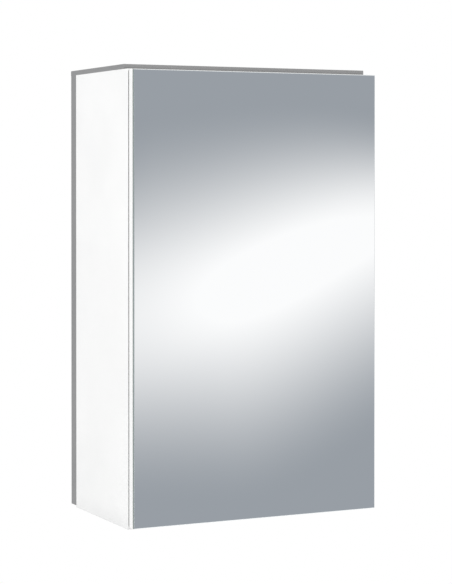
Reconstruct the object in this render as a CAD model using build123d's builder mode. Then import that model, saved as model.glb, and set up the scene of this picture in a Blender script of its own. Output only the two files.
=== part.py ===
from build123d import *
import math
import os

# Bathroom mirror cabinet in millimetres: X runs right, Y into the wall and Z up.
# The origin is the centre of the wall screw pattern, on the back face of the cabinet.

# Carcass
cabinet_width = 300.0
carcass_height = 500.0
side_depth = 154.5
board = 16.0
back_board_thickness = 16.0
back_bottom_reveal = 2.0
board_edge_round = 0.6

# Top cover
cover_thickness = 5.5
cover_setback = 12.0
cover_edge_round = 0.5

# Door
door_gap = 2.0
door_board_thickness = 10.0
door_side_reveal = 0.25
door_top_reveal = 1.0
door_bottom_reveal = 2.75
door_edge_round = 0.6
tape_thickness = 0.5
tape_width = 25.0
tape_end_margin = 20.0
tape_side_inset = 39.75
mirror_thickness = 3.0
mirror_inset = 0.25
mirror_edge_bevel = 0.6
bumper_radius = 4.0
bumper_edge_bevel = 0.4
bumper_play = 0.1
bumper_end_inset = 14.0

# Shelves on pins, in rows of holes
row_pitch = 32.0
row_setback = 37.0
row_holes = 5
pin_radius = 2.5
pin_hole_radius = 2.6
pin_hole_depth = 10.0
pin_shank_length = 9.0
pin_head_radius = 4.0
pin_head_length = 8.0
pin_seat_height = 2.5
shelf_thickness = 5.0
shelf_depth = 122.0
shelf_side_play = 1.0
shelf_back_play = 3.0
shelf_corner_radius = 6.0
shelf_edge_round = 0.8
shelf_rows = {"shelf_upper": 2, "shelf_lower": -2}

# Knock-down fittings
cam_radius = 7.4
cam_bore_radius = 7.5
cam_height = 12.0
cam_bore_depth = 12.5
cam_distance = 24.0
cam_row_setback = 48.0
cam_slot_width = 7.4
cam_cross_width = 1.4
cam_cross_length = 8.0
cam_cross_depth = 2.0
bolt_neck_radius = 2.0
bolt_head_radius = 3.3
bolt_head_length = 3.0
bolt_bore_radius = 3.9
bolt_thread_radius = 2.5
bolt_thread_bore_radius = 2.6
bolt_thread_length = 10.0
bolt_thread_bore_depth = 11.0
dowel_radius = 4.0
dowel_bore_radius = 4.05
dowel_length = 30.0
dowel_side_depth = 12.0
dowel_end_play = 0.5
dowel_chamfer = 0.8
dowel_row_setback = 48.0

# Screws through boards: shank, countersunk head and pilot bore
screw_shank_radius = 2.0
screw_bore_radius = 2.1
screw_head_radius = 4.0
screw_head_height = 2.4
screw_socket_share = 0.4
back_screw_length = 40.0
back_screw_end_inset = 60.0
back_low_screw_inset = 7.0
screw_tip_play = 0.5
cover_screw_length = 19.0
cover_screw_end_inset = 44.0
cover_screw_edge_inset = 32.5

# Wall fixing
wall_hole_radius = 3.0
wall_hole_side_inset = 50.0
wall_hole_end_inset = 60.0

# Single-pivot concealed hinges. U runs inward from the outer face of the right side
# panel and V runs outward from the carcass front, in every hinge size below.
hinge_end_distance = 74.0
pivot_u = 5.2
pivot_v = 7.9
pivot_pin_radius = 1.0
pivot_running_clearance = 0.05
pin_seat_clearance = 0.02
knuckle_radius = 1.9

# Hinge cup, let into the back of the door board
cup_wall = 0.6
cup_bowl_radius = 13.0
cup_centre_u = 15.5
cup_depth = 8.6
cup_slot_edge_u = 2.5
cup_slot_half_height = 7.6
cup_bore_play = 0.1
flange_thickness = 0.9
flange_margin = 1.6
flange_edge_u = 2.4
flange_wing_radius = 5.0
flange_bend_round = 0.3
cup_screw_spacing = 38.0
cup_screw_u = 20.0
cup_screw_length = 8.0
cup_screw_radius = 1.5
cup_screw_bore_radius = 1.6
cup_screw_head_radius = 3.0
cup_screw_head_height = 0.6

# Hinge arm, a cranked steel channel
arm_sheet = 1.4
arm_half_width = 6.5
arm_nose_u = 20.7
arm_web_u = 23.9
arm_bend_radius = 1.8
arm_crank_start_v = -4.0
arm_crank_end_v = -10.0
arm_end_v = -58.0
arm_flange_end_v = -56.0
arm_flange_start_v = -13.0
arm_flange_clearance = 0.5
arm_corner_round = 1.5

# Mounting plate and its screws
plate_thickness = 2.5
plate_wing_half_height = 24.0
plate_wing_half_width = 6.5
plate_foot_half_width = 7.5
plate_foot_length = 44.0
boss_half_width = 4.8
boss_front_v = -16.0
boss_back_v = -55.0
boss_seat_play = 0.1
plate_edge_round = 0.8
plate_screw_length = 12.0
side_screw_v = -20.0
depth_screw_v = -48.0
arm_screw_radius = 2.0
arm_screw_bore_radius = 2.05
arm_screw_head_radius = 3.4
arm_screw_head_height = 1.8
arm_screw_length = 7.0
arm_slot_length = 8.0

# Magnetic catch on the left side panel, with its strike plate on the door
catch_height = 10.0
catch_body_width = 13.0
catch_body_length = 30.0
catch_body_height = 46.0
catch_front_recess = 0.8
catch_ear_thickness = 3.0
catch_ear_length = 18.0
catch_core_height = 24.0
catch_edge_round = 1.0
magnet_width = 8.0
magnet_length = 16.0
magnet_height = 20.0
magnet_play = 0.1
magnet_edge_bevel = 0.3
strike_thickness = 1.2
strike_width = 12.0
strike_height = 24.0
strike_air_gap = 0.2
catch_screw_length = 13.0
catch_screw_inset = 5.5
strike_screw_length = 8.0
strike_screw_radius = 1.4
strike_screw_bore_radius = 1.5
strike_screw_head_radius = 2.7
strike_screw_head_height = 1.1

# Places worked out from the sizes above
half_width = cabinet_width / 2
inner_half_width = half_width - board
half_height = carcass_height / 2
back_front_y = -back_board_thickness
carcass_front_y = back_front_y - side_depth
side_centre_y = (back_front_y + carcass_front_y) / 2
door_back_y = carcass_front_y - door_gap
door_front_y = door_back_y - door_board_thickness
tape_front_y = door_front_y - tape_thickness
mirror_front_y = tape_front_y - mirror_thickness
door_width = cabinet_width - 2 * door_side_reveal
door_top_z = half_height - door_top_reveal
door_bottom_z = -half_height + door_bottom_reveal
door_height = door_top_z - door_bottom_z
tape_spacing = door_width / 2 - tape_side_inset
door_centre_z = (door_top_z + door_bottom_z) / 2
row_front_y = carcass_front_y + row_setback
row_back_y = back_front_y - row_setback
row_heights = [row_pitch * (index - (row_holes - 1) / 2) for index in range(row_holes)]
hinge_height = half_height - hinge_end_distance
hinge_levels = {"upper": hinge_height, "lower": -hinge_height}
plate_screw_heights = [
    level + offset for level in hinge_levels.values() for offset in (-row_pitch / 2, row_pitch / 2)
]
wall_hole_x = half_width - wall_hole_side_inset
wall_hole_z = half_height - wall_hole_end_inset
back_screw_z = half_height - back_screw_end_inset
back_screw_heights = (-back_screw_z, 0, back_screw_z)
cover_screw_x = inner_half_width - cover_screw_end_inset
cover_screw_rows = (carcass_front_y + cover_screw_edge_inset, back_front_y - cover_screw_edge_inset)
cam_row_y = carcass_front_y + cam_row_setback
dowel_row_y = back_front_y - dowel_row_setback
panel_mid_z = half_height - board / 2
back_bottom_z = -half_height + back_bottom_reveal
back_height = half_height - back_bottom_z
back_low_screw_z = back_bottom_z + back_low_screw_inset
cup_centre_x = half_width - cup_centre_u
cup_screw_x = half_width - cup_screw_u
pivot_x = half_width - pivot_u
pivot_y = carcass_front_y - pivot_v
catch_x = -inner_half_width + catch_body_width / 2
catch_front_y = carcass_front_y + catch_front_recess
catch_centre_y = catch_front_y + catch_body_length / 2
strike_front_y = door_back_y + strike_thickness
magnet_front_y = strike_front_y + strike_air_gap
catch_screw_offset = catch_body_height / 2 - catch_screw_inset
catch_screw_heights = (catch_height - catch_screw_offset, catch_height + catch_screw_offset)

os.makedirs("parts", exist_ok=True)


def finish(part, name):
    """Label a finished piece and write its file."""
    part.label = name
    export_step(part, f"parts/{name}.step")


def inner_side(hand, y, z):
    """Plane on the inner face of a side panel, facing into the cabinet, with X up."""
    return Plane(origin=(hand * inner_half_width, y, z), x_dir=(0, 0, 1), z_dir=(-hand, 0, 0))


def panel_end(hand, y, level):
    """Plane on the end of the top or bottom panel, facing its side panel."""
    return Plane(
        origin=(hand * inner_half_width, y, level * panel_mid_z), x_dir=(0, 0, 1), z_dir=(hand, 0, 0)
    )


def facing_wall(x, y, z):
    """Plane that faces the wall, for bores that run toward the front."""
    return Plane(origin=(x, y, z), x_dir=(1, 0, 0), z_dir=(0, 1, 0))


def facing_front(x, y, z):
    """Plane that faces the front, with Y up, for bores that run toward the wall."""
    return Plane(origin=(x, y, z), x_dir=(1, 0, 0), z_dir=(0, -1, 0))


def at_hinge(u, v):
    """Plan point of the right side's hinges."""
    return (half_width - u, carcass_front_y - v)


def countersink_angle(head_radius, bore_radius, head_height):
    """Full angle of the cone between a screw's head and its bore."""
    return 2 * math.degrees(math.atan((head_radius - bore_radius) / head_height))


def countersunk_screw(length, shank_radius, head_radius, head_height):
    """Wood screw with its head flush at the plane, pointing down."""
    with BuildPart() as screw:
        with BuildSketch(Plane.XZ):
            with BuildLine():
                Polyline(
                    (0, 0),
                    (head_radius, 0),
                    (shank_radius, -head_height),
                    (shank_radius, -length),
                    (0, -length),
                    close=True,
                )
            make_face()
        revolve(axis=Axis.Z)
        with BuildSketch():
            RegularPolygon(head_radius * screw_socket_share, 4)
        extrude(amount=-head_height * screw_socket_share, mode=Mode.SUBTRACT)
    return screw.part


def flat_head_screw(length, shank_radius, head_radius, head_height):
    """Screw with its shank below the plane and its flat head on it."""
    with BuildPart() as screw:
        Cylinder(shank_radius, length, align=(Align.CENTER, Align.CENTER, Align.MAX))
        Cylinder(head_radius, head_height, align=(Align.CENTER, Align.CENTER, Align.MIN))
        with BuildSketch(Plane.XY.offset(head_height)):
            RegularPolygon(head_radius * screw_socket_share, 4)
        extrude(amount=-head_height * screw_socket_share, mode=Mode.SUBTRACT)
    return screw.part


def copies(form, planes):
    """One node of separate copies of a form, one on each plane."""
    with BuildPart() as group:
        with Locations(*planes):
            add(form)
    return group.part


board_countersink = countersink_angle(screw_head_radius, screw_bore_radius, screw_head_height)

# Planes of the fasteners, shared by the bores and the fasteners that sit in them
cam_planes = {
    level: [
        Plane(
            origin=(hand * (inner_half_width - cam_distance), cam_row_y, level * half_height),
            x_dir=(hand, 0, 0),
            z_dir=(0, 0, level),
        )
        for hand in (-1, 1)
    ]
    for level in (-1, 1)
}
back_screw_planes = [
    facing_wall(hand * (half_width - board / 2), 0, z) for hand in (-1, 1) for z in back_screw_heights
] + [facing_wall(0, 0, z) for z in (back_low_screw_z, panel_mid_z)]
cover_screw_planes = [
    Plane(origin=(hand * cover_screw_x, y, half_height - board), z_dir=(0, 0, -1))
    for hand in (-1, 1)
    for y in cover_screw_rows
]
wall_hole_planes = [
    facing_front(hand * wall_hole_x, back_front_y, level * wall_hole_z)
    for hand in (-1, 1)
    for level in (-1, 1)
]


# Side panels, with shelf rows, fitting bores and hinge plate bores on both, so that
# the door can hang on either side
for name, hand in (("side_panel_left", -1), ("side_panel_right", 1)):
    with BuildPart() as side_panel:
        with Locations((hand * (half_width - board / 2), side_centre_y, 0)):
            Box(board, side_depth, carcass_height)
        fillet(side_panel.faces().sort_by(Axis.Y)[0].edges(), board_edge_round)
        with Locations(*[inner_side(hand, y, z) for y in (row_front_y, row_back_y) for z in row_heights]):
            Hole(pin_hole_radius, pin_hole_depth)
        with Locations(*[inner_side(hand, row_front_y, z) for z in plate_screw_heights]):
            Hole(screw_bore_radius, plate_screw_length - plate_thickness + screw_tip_play)
        for level in (-1, 1):
            with Locations(inner_side(hand, cam_row_y, level * panel_mid_z)):
                Hole(bolt_thread_bore_radius, bolt_thread_bore_depth)
            with Locations(inner_side(hand, dowel_row_y, level * panel_mid_z)):
                Hole(dowel_bore_radius, dowel_side_depth + dowel_end_play)
        back_edge_x = hand * (half_width - board / 2)
        with Locations(*[facing_wall(back_edge_x, back_front_y, z) for z in back_screw_heights]):
            Hole(screw_bore_radius, back_screw_length - back_board_thickness + screw_tip_play)
        if hand < 0:
            with Locations(*[inner_side(hand, catch_centre_y, z) for z in catch_screw_heights]):
                Hole(screw_bore_radius, catch_screw_length - catch_ear_thickness + screw_tip_play)
    finish(side_panel.part, name)


# Top and bottom panels, between the sides
for name, level in (("top_panel", 1), ("bottom_panel", -1)):
    with BuildPart() as cross_panel:
        with Locations((0, side_centre_y, level * panel_mid_z)):
            Box(2 * inner_half_width, side_depth, board)
        front_edges = cross_panel.edges().filter_by(Axis.X).group_by(Axis.Y)[0]
        fillet(front_edges, board_edge_round)
        with Locations(*cam_planes[level]):
            Hole(cam_bore_radius, cam_bore_depth)
        for hand in (-1, 1):
            with Locations(panel_end(hand, cam_row_y, level)):
                Hole(bolt_bore_radius, cam_distance)
            with Locations(panel_end(hand, dowel_row_y, level)):
                Hole(dowel_bore_radius, dowel_length - dowel_side_depth + dowel_end_play)
        with Locations(facing_wall(0, back_front_y, panel_mid_z if level > 0 else back_low_screw_z)):
            Hole(screw_bore_radius, back_screw_length - back_board_thickness + screw_tip_play)
        if level > 0:
            with Locations(*cover_screw_planes):
                CounterSinkHole(screw_bore_radius, screw_head_radius, board, board_countersink)
    finish(cross_panel.part, name)


# Back board, with its screws from behind and the four wall screw holes
with BuildPart() as back_board:
    with Locations((0, back_front_y / 2, (half_height + back_bottom_z) / 2)):
        Box(cabinet_width, back_board_thickness, back_height)
    fillet(back_board.edges().filter_by(Axis.Z), board_edge_round)
    with Locations(*back_screw_planes):
        CounterSinkHole(screw_bore_radius, screw_head_radius, back_board_thickness, board_countersink)
    with Locations(*wall_hole_planes):
        Hole(wall_hole_radius, back_board_thickness)
finish(back_board.part, "back_board")


# Top cover, set back from the carcass front
cover_depth = side_depth + back_board_thickness - cover_setback
with BuildPart() as top_cover:
    with Locations((0, -cover_depth / 2, half_height + cover_thickness / 2)):
        Box(cabinet_width, cover_depth, cover_thickness)
    fillet(top_cover.faces().sort_by(Axis.Z)[-1].edges(), cover_edge_round)
    with Locations(*[plane.offset(-board) for plane in cover_screw_planes]):
        Hole(screw_bore_radius, cover_screw_length - board + screw_tip_play)
finish(top_cover.part, "top_cover")


# Fittings of the carcass
with BuildPart() as cam_form:
    Cylinder(cam_radius, cam_height, align=(Align.CENTER, Align.CENTER, Align.MAX))
    slot_top = board / 2 - bolt_head_radius - screw_tip_play
    with Locations((0, 0, -slot_top)):
        Box(
            cam_radius,
            cam_slot_width,
            cam_height,
            align=(Align.MIN, Align.CENTER, Align.MAX),
            mode=Mode.SUBTRACT,
        )
        Cylinder(
            cam_slot_width / 2, cam_height, align=(Align.CENTER, Align.CENTER, Align.MAX), mode=Mode.SUBTRACT
        )
    with BuildSketch():
        Rectangle(cam_cross_length, cam_cross_width)
        Rectangle(cam_cross_width, cam_cross_length)
    extrude(amount=-cam_cross_depth, mode=Mode.SUBTRACT)
finish(copies(cam_form.part, cam_planes[-1] + cam_planes[1]), "cam_housings")

with BuildPart() as bolt_form:
    with BuildSketch(Plane.XZ):
        with BuildLine():
            Polyline(
                (0, -bolt_thread_length),
                (bolt_thread_radius, -bolt_thread_length),
                (bolt_thread_radius, 0),
                (bolt_neck_radius, 0),
                (bolt_neck_radius, cam_distance - bolt_head_length / 2),
                (bolt_head_radius, cam_distance - bolt_head_length / 2),
                (bolt_head_radius, cam_distance + bolt_head_length / 2),
                (0, cam_distance + bolt_head_length / 2),
                close=True,
            )
        make_face()
    revolve(axis=Axis.Z)
bolt_planes = [inner_side(hand, cam_row_y, level * panel_mid_z) for hand in (-1, 1) for level in (-1, 1)]
finish(copies(bolt_form.part, bolt_planes), "cam_bolts")

with BuildPart() as dowel_form:
    with Locations((0, 0, -dowel_side_depth)):
        Cylinder(dowel_radius, dowel_length, align=(Align.CENTER, Align.CENTER, Align.MIN))
    chamfer(dowel_form.edges().filter_by(GeomType.CIRCLE), dowel_chamfer)
dowel_planes = [inner_side(hand, dowel_row_y, level * panel_mid_z) for hand in (-1, 1) for level in (-1, 1)]
finish(copies(dowel_form.part, dowel_planes), "dowels")

board_screw = (screw_shank_radius, screw_head_radius, screw_head_height)
finish(copies(countersunk_screw(back_screw_length, *board_screw), back_screw_planes), "back_screws")
finish(copies(countersunk_screw(cover_screw_length, *board_screw), cover_screw_planes), "cover_screws")


# Glass shelves on flat-topped pins
with BuildPart() as shelf_pin_form:
    Cylinder(pin_radius, pin_shank_length, align=(Align.CENTER, Align.CENTER, Align.MAX))
    Cylinder(pin_head_radius, pin_head_length, align=(Align.CENTER, Align.CENTER, Align.MIN))
    with Locations((pin_seat_height, 0, 0)):
        Box(
            pin_head_radius,
            2 * pin_head_radius,
            pin_head_length,
            align=(Align.MIN, Align.CENTER, Align.MIN),
            mode=Mode.SUBTRACT,
        )
shelf_pin_planes = [
    inner_side(hand, y, row * row_pitch)
    for row in shelf_rows.values()
    for hand in (-1, 1)
    for y in (row_front_y, row_back_y)
]
finish(copies(shelf_pin_form.part, shelf_pin_planes), "shelf_pins")

shelf_centre_y = back_front_y - shelf_back_play - shelf_depth / 2
for name, row in shelf_rows.items():
    with BuildPart() as shelf:
        with Locations((0, shelf_centre_y, row * row_pitch + pin_seat_height + shelf_thickness / 2)):
            Box(2 * (inner_half_width - shelf_side_play), shelf_depth, shelf_thickness)
        fillet(shelf.edges().filter_by(Axis.Z).group_by(Axis.Y)[0], shelf_corner_radius)
        chamfer(shelf.edges().filter_by(Axis.X).group_by(Axis.Y)[0], shelf_edge_round)
    finish(shelf.part, name)


def cup_outline(growth):
    """Round bowl joined by a straight slot that reaches the hinge pin near the door's edge."""
    with BuildSketch() as outline:
        Circle(cup_bowl_radius + growth)
        Rectangle(
            cup_centre_u - cup_slot_edge_u + growth,
            2 * (cup_slot_half_height + growth),
            align=(Align.MIN, Align.CENTER),
        )
    return outline.sketch


def cup_plane(level, y):
    """Plane at a hinge's bowl centre, facing the front."""
    return facing_front(cup_centre_x, y, level)


# Door board, with the pockets of the hinge cups and the pilot bores in its back
cup_screw_planes = [
    facing_wall(cup_screw_x, door_back_y + flange_thickness, level + offset)
    for level in hinge_levels.values()
    for offset in (-cup_screw_spacing / 2, cup_screw_spacing / 2)
]
strike_screw_plane = facing_wall(catch_x, strike_front_y, catch_height)
with BuildPart() as door_board:
    with Locations((0, (door_back_y + door_front_y) / 2, door_centre_z)):
        Box(door_width, door_board_thickness, door_height)
    fillet(door_board.faces().sort_by(Axis.Y)[-1].edges(), door_edge_round)
    for level in hinge_levels.values():
        with BuildSketch(cup_plane(level, door_back_y)):
            add(cup_outline(cup_bore_play))
        extrude(amount=cup_depth + cup_bore_play, mode=Mode.SUBTRACT)
    with Locations(*cup_screw_planes):
        Hole(cup_screw_bore_radius, cup_screw_length + screw_tip_play)
    with Locations(strike_screw_plane):
        Hole(strike_screw_bore_radius, strike_screw_length + screw_tip_play)
finish(door_board.part, "door_board")


# Mirror on strips of mounting tape
with BuildPart() as mirror_tape:
    with Locations(
        *[(column * tape_spacing, (door_front_y + tape_front_y) / 2, door_centre_z) for column in (-1, 0, 1)]
    ):
        Box(tape_width, tape_thickness, door_height - 2 * tape_end_margin)
finish(mirror_tape.part, "mirror_tape")

with BuildPart() as door_mirror:
    with Locations((0, (tape_front_y + mirror_front_y) / 2, door_centre_z)):
        Box(door_width - 2 * mirror_inset, mirror_thickness, door_height - 2 * mirror_inset)
    chamfer(door_mirror.faces().sort_by(Axis.Y)[0].edges(), mirror_edge_bevel)
finish(door_mirror.part, "door_mirror")


# Soft pads that the door closes on, at the opening side
with BuildPart() as door_bumpers:
    with Locations(
        *[
            facing_wall(-half_width + board / 2, door_back_y, end * (half_height - bumper_end_inset))
            for end in (-1, 1)
        ]
    ):
        Cylinder(
            bumper_radius, door_gap - bumper_play, align=(Align.CENTER, Align.CENTER, Align.MIN)
        )
    chamfer(door_bumpers.faces().group_by(Axis.Y)[-1].edges(), bumper_edge_bevel)
finish(door_bumpers.part, "door_bumpers")


def arm_screw_plane(v, level):
    """Plane on the outside of the arm's web, facing the middle of the cabinet."""
    return Plane(
        origin=(half_width - arm_web_u - arm_sheet / 2, carcass_front_y - v, level),
        x_dir=(0, 1, 0),
        z_dir=(-1, 0, 0),
    )


plate_screw_planes = [
    Plane(origin=(inner_half_width - plate_thickness, row_front_y, z), z_dir=(-1, 0, 0))
    for z in plate_screw_heights
]


def hinge_cup(level):
    """Pressed steel cup with a flange that is screwed to the back of the door."""
    with BuildPart() as cup:
        with BuildSketch(cup_plane(level, door_back_y)):
            add(cup_outline(0))
        extrude(amount=cup_depth)
        with BuildSketch(cup_plane(level, door_back_y)):
            Circle(cup_bowl_radius + flange_margin)
            with Locations((cup_screw_x - cup_centre_x, 0)):
                SlotCenterToCenter(cup_screw_spacing, 2 * flange_wing_radius, rotation=90)
            Rectangle(
                cup_centre_u - flange_edge_u,
                2 * (cup_slot_half_height + flange_margin),
                align=(Align.MIN, Align.CENTER),
            )
            with Locations((cup_centre_u - flange_edge_u, 0)):
                Rectangle(
                    cup_bowl_radius,
                    cup_screw_spacing,
                    align=(Align.MIN, Align.CENTER),
                    mode=Mode.SUBTRACT,
                )
        extrude(amount=-flange_thickness)
        with BuildSketch(cup_plane(level, door_back_y + flange_thickness)):
            add(cup_outline(-cup_wall))
        extrude(amount=cup_depth + flange_thickness - cup_wall, mode=Mode.SUBTRACT)
        with Locations((pivot_x, pivot_y, level)):
            Cylinder(pivot_pin_radius + pin_seat_clearance, 2 * cup_slot_half_height, mode=Mode.SUBTRACT)
        with Locations(*[plane for plane in cup_screw_planes if plane.origin.Z * level > 0]):
            Hole(cup_screw_bore_radius, flange_thickness)
    return cup.part


def hinge_pin(level):
    """Steel pin held in the cup's slot walls, which the arm's knuckle turns on."""
    with BuildPart() as pin:
        with Locations((pivot_x, pivot_y, level)):
            Cylinder(pivot_pin_radius, 2 * cup_slot_half_height)
    return pin.part


def hinge_arm(level):
    """Cranked sheet-metal channel, rolled round the pin and seated on the plate's boss."""
    nose_v = pivot_v + knuckle_radius - arm_sheet / 2
    flange_height = arm_web_u - board - plate_thickness - arm_flange_clearance
    with BuildPart() as arm:
        with BuildSketch(Plane.XY.offset(level - arm_half_width)):
            with BuildLine():
                FilletPolyline(
                    at_hinge(pivot_u, nose_v),
                    at_hinge(arm_nose_u, nose_v),
                    at_hinge(arm_nose_u, arm_crank_start_v),
                    at_hinge(arm_web_u, arm_crank_end_v),
                    at_hinge(arm_web_u, arm_end_v),
                    radius=arm_bend_radius,
                )
            trace(line_width=arm_sheet)
            with Locations(at_hinge(pivot_u, pivot_v)):
                Circle(knuckle_radius)
                Circle(pivot_pin_radius + pivot_running_clearance, mode=Mode.SUBTRACT)
        extrude(amount=2 * arm_half_width)
        web_end = arm.faces().sort_by(Axis.Y)[-1]
        fillet(web_end.edges().filter_by(Axis.X), arm_corner_round)
        for side in (-1, 1):
            flange_z = level + side * (arm_half_width - arm_sheet / 2)
            with BuildSketch(Plane.XY.offset(flange_z - arm_sheet / 2)):
                with Locations(at_hinge(arm_web_u - flange_height, arm_flange_start_v)):
                    Rectangle(
                        flange_height,
                        arm_flange_start_v - arm_flange_end_v,
                        align=(Align.MAX, Align.MIN),
                    )
            extrude(amount=arm_sheet)
        with Locations(arm_screw_plane(side_screw_v, level)):
            Hole(arm_screw_bore_radius, 2 * arm_sheet)
        with BuildSketch(arm_screw_plane(depth_screw_v, level)):
            SlotOverall(arm_slot_length, 2 * arm_screw_bore_radius)
        extrude(amount=-2 * arm_sheet, mode=Mode.SUBTRACT)
    return arm.part


def hinge_plate(level):
    """Cross-shaped mounting plate with a raised boss for the arm."""
    foot_centre_v = (boss_front_v + boss_back_v) / 2
    boss_height = arm_web_u - arm_sheet / 2 - boss_seat_play - board
    foot_plane = Plane(
        origin=(inner_half_width, carcass_front_y - foot_centre_v, level), x_dir=(0, 1, 0), z_dir=(-1, 0, 0)
    )
    with BuildPart() as plate:
        with BuildSketch(foot_plane):
            RectangleRounded(plate_foot_length, 2 * plate_foot_half_width, arm_corner_round)
            with Locations((row_front_y - carcass_front_y + foot_centre_v, 0)):
                SlotCenterToCenter(
                    2 * (plate_wing_half_height - plate_wing_half_width),
                    2 * plate_wing_half_width,
                    rotation=90,
                )
        extrude(amount=plate_thickness)
        with BuildSketch(foot_plane):
            RectangleRounded(boss_front_v - boss_back_v, 2 * boss_half_width, arm_corner_round)
        extrude(amount=boss_height)
        with Locations(*[plane for plane in plate_screw_planes if plane.origin.Z * level > 0]):
            CounterSinkHole(screw_bore_radius, screw_head_radius, plate_thickness, board_countersink)
        with Locations(*[arm_screw_plane(v, level) for v in (side_screw_v, depth_screw_v)]):
            Hole(arm_screw_bore_radius, arm_screw_length + screw_tip_play)
    return plate.part


# Both hinges, with their pins, plates and screws
arm_screw_form = flat_head_screw(
    arm_screw_length, arm_screw_radius, arm_screw_head_radius, arm_screw_head_height
)
for name, level in hinge_levels.items():
    finish(hinge_cup(level), f"{name}_hinge_cup")
    finish(hinge_pin(level), f"{name}_hinge_pin")
    finish(hinge_arm(level), f"{name}_hinge_arm")
    finish(hinge_plate(level), f"{name}_hinge_plate")
    finish(copies(arm_screw_form, [arm_screw_plane(side_screw_v, level)]), f"{name}_side_screw")
    finish(copies(arm_screw_form, [arm_screw_plane(depth_screw_v, level)]), f"{name}_depth_screw")
finish(copies(countersunk_screw(plate_screw_length, *board_screw), plate_screw_planes), "plate_screws")
cup_screw_form = flat_head_screw(
    cup_screw_length, cup_screw_radius, cup_screw_head_radius, cup_screw_head_height
)
finish(copies(cup_screw_form, cup_screw_planes), "cup_screws")


# Magnetic catch: a moulded housing with two ears, the magnet in it and the strike plate
with BuildPart() as catch_housing:
    with Locations((-inner_half_width, catch_centre_y, catch_height)):
        Box(
            catch_body_width,
            catch_body_length,
            catch_core_height,
            align=(Align.MIN, Align.CENTER, Align.CENTER),
        )
        Box(
            catch_ear_thickness,
            catch_ear_length,
            catch_body_height,
            align=(Align.MIN, Align.CENTER, Align.CENTER),
        )
    fillet(catch_housing.faces().sort_by(Axis.X)[-1].edges(), catch_edge_round)
    with Locations((catch_x, magnet_front_y + magnet_length / 2, catch_height)):
        Box(
            magnet_width + 2 * magnet_play,
            magnet_length + 2 * magnet_play,
            magnet_height + 2 * magnet_play,
            mode=Mode.SUBTRACT,
        )
    catch_screw_planes = [
        Plane(origin=(-inner_half_width + catch_ear_thickness, catch_centre_y, z), z_dir=(1, 0, 0))
        for z in catch_screw_heights
    ]
    with Locations(*catch_screw_planes):
        CounterSinkHole(screw_bore_radius, screw_head_radius, catch_ear_thickness, board_countersink)
finish(catch_housing.part, "catch_housing")

with BuildPart() as catch_magnet:
    with Locations((catch_x, magnet_front_y + magnet_length / 2, catch_height)):
        Box(magnet_width, magnet_length, magnet_height)
    chamfer(catch_magnet.faces().sort_by(Axis.Y)[0].edges(), magnet_edge_bevel)
finish(catch_magnet.part, "catch_magnet")
finish(copies(countersunk_screw(catch_screw_length, *board_screw), catch_screw_planes), "catch_screws")

strike_screw = (strike_screw_radius, strike_screw_head_radius, strike_screw_head_height)
with BuildPart() as strike_plate:
    with Locations((catch_x, (door_back_y + strike_front_y) / 2, catch_height)):
        Box(strike_width, strike_thickness, strike_height)
    fillet(strike_plate.edges().filter_by(Axis.Y), catch_edge_round)
    with Locations(strike_screw_plane):
        CounterSinkHole(
            strike_screw_bore_radius,
            strike_screw_head_radius,
            strike_thickness,
            countersink_angle(strike_screw_head_radius, strike_screw_bore_radius, strike_screw_head_height),
        )
finish(strike_plate.part, "strike_plate")
finish(
    copies(countersunk_screw(strike_screw_length, *strike_screw), [strike_screw_plane]), "strike_screw"
)
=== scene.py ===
"""Dresses the bathroom mirror cabinet: laminated boards, silvered door, glass shelves,
plated hinges, threaded screws and fluted dowels, in a pale photo studio."""

import math

import bmesh
import bpy
from bpy.props import (
    FloatProperty,
    FloatVectorProperty,
    IntProperty,
    PointerProperty,
)
from mathutils import Matrix, Vector


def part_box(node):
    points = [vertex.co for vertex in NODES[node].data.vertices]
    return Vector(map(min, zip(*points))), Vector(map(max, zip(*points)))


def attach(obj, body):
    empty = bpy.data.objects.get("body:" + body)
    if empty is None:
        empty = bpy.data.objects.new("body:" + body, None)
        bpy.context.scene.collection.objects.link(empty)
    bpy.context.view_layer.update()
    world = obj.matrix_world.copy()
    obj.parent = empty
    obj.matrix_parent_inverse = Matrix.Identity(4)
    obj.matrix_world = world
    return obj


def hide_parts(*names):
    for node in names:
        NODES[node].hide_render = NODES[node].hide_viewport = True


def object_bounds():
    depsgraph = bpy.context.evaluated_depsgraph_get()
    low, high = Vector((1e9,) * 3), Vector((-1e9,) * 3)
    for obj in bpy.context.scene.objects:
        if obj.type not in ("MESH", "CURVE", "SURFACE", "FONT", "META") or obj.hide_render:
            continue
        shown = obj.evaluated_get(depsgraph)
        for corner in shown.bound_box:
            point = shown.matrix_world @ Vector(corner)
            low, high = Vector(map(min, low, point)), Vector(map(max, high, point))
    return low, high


bl_info = {
    "name": "Mirror Cabinet Dressing",
    "version": (1, 0, 0),
    "blender": (4, 5, 0),
    "location": "View3D > Sidebar > Cabinet",
    "description": "Finishes, screws, dowels and studio of a bathroom mirror cabinet",
    "category": "Object",
}

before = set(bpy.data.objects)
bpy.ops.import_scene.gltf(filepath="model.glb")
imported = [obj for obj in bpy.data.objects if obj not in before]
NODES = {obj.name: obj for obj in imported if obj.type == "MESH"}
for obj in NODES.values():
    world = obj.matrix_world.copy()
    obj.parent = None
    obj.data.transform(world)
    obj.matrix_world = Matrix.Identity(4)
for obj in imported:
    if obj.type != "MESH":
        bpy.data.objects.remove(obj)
CAD_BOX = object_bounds()

# What the colour settings share
TINT = {"subtype": "COLOR", "min": 0.0, "max": 1.0}

# Depths in metres at which a finish changes, each over a short ramp
BORE_START = (0.0003, 0.00036)  # a board's raw core, seen inside bores
BEVEL_END = (0.00062, 0.00068)  # the mirror's bevel
PAINT_START = (0.00285, 0.0029)  # the paint on the mirror's back
GAP_REACH = 0.0045  # how far the shade of a gap reaches, in metres

# Heights of the flat screw heads, in metres
CUP_HEAD = 0.0006
ADJUSTER_HEAD = 0.0018

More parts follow.
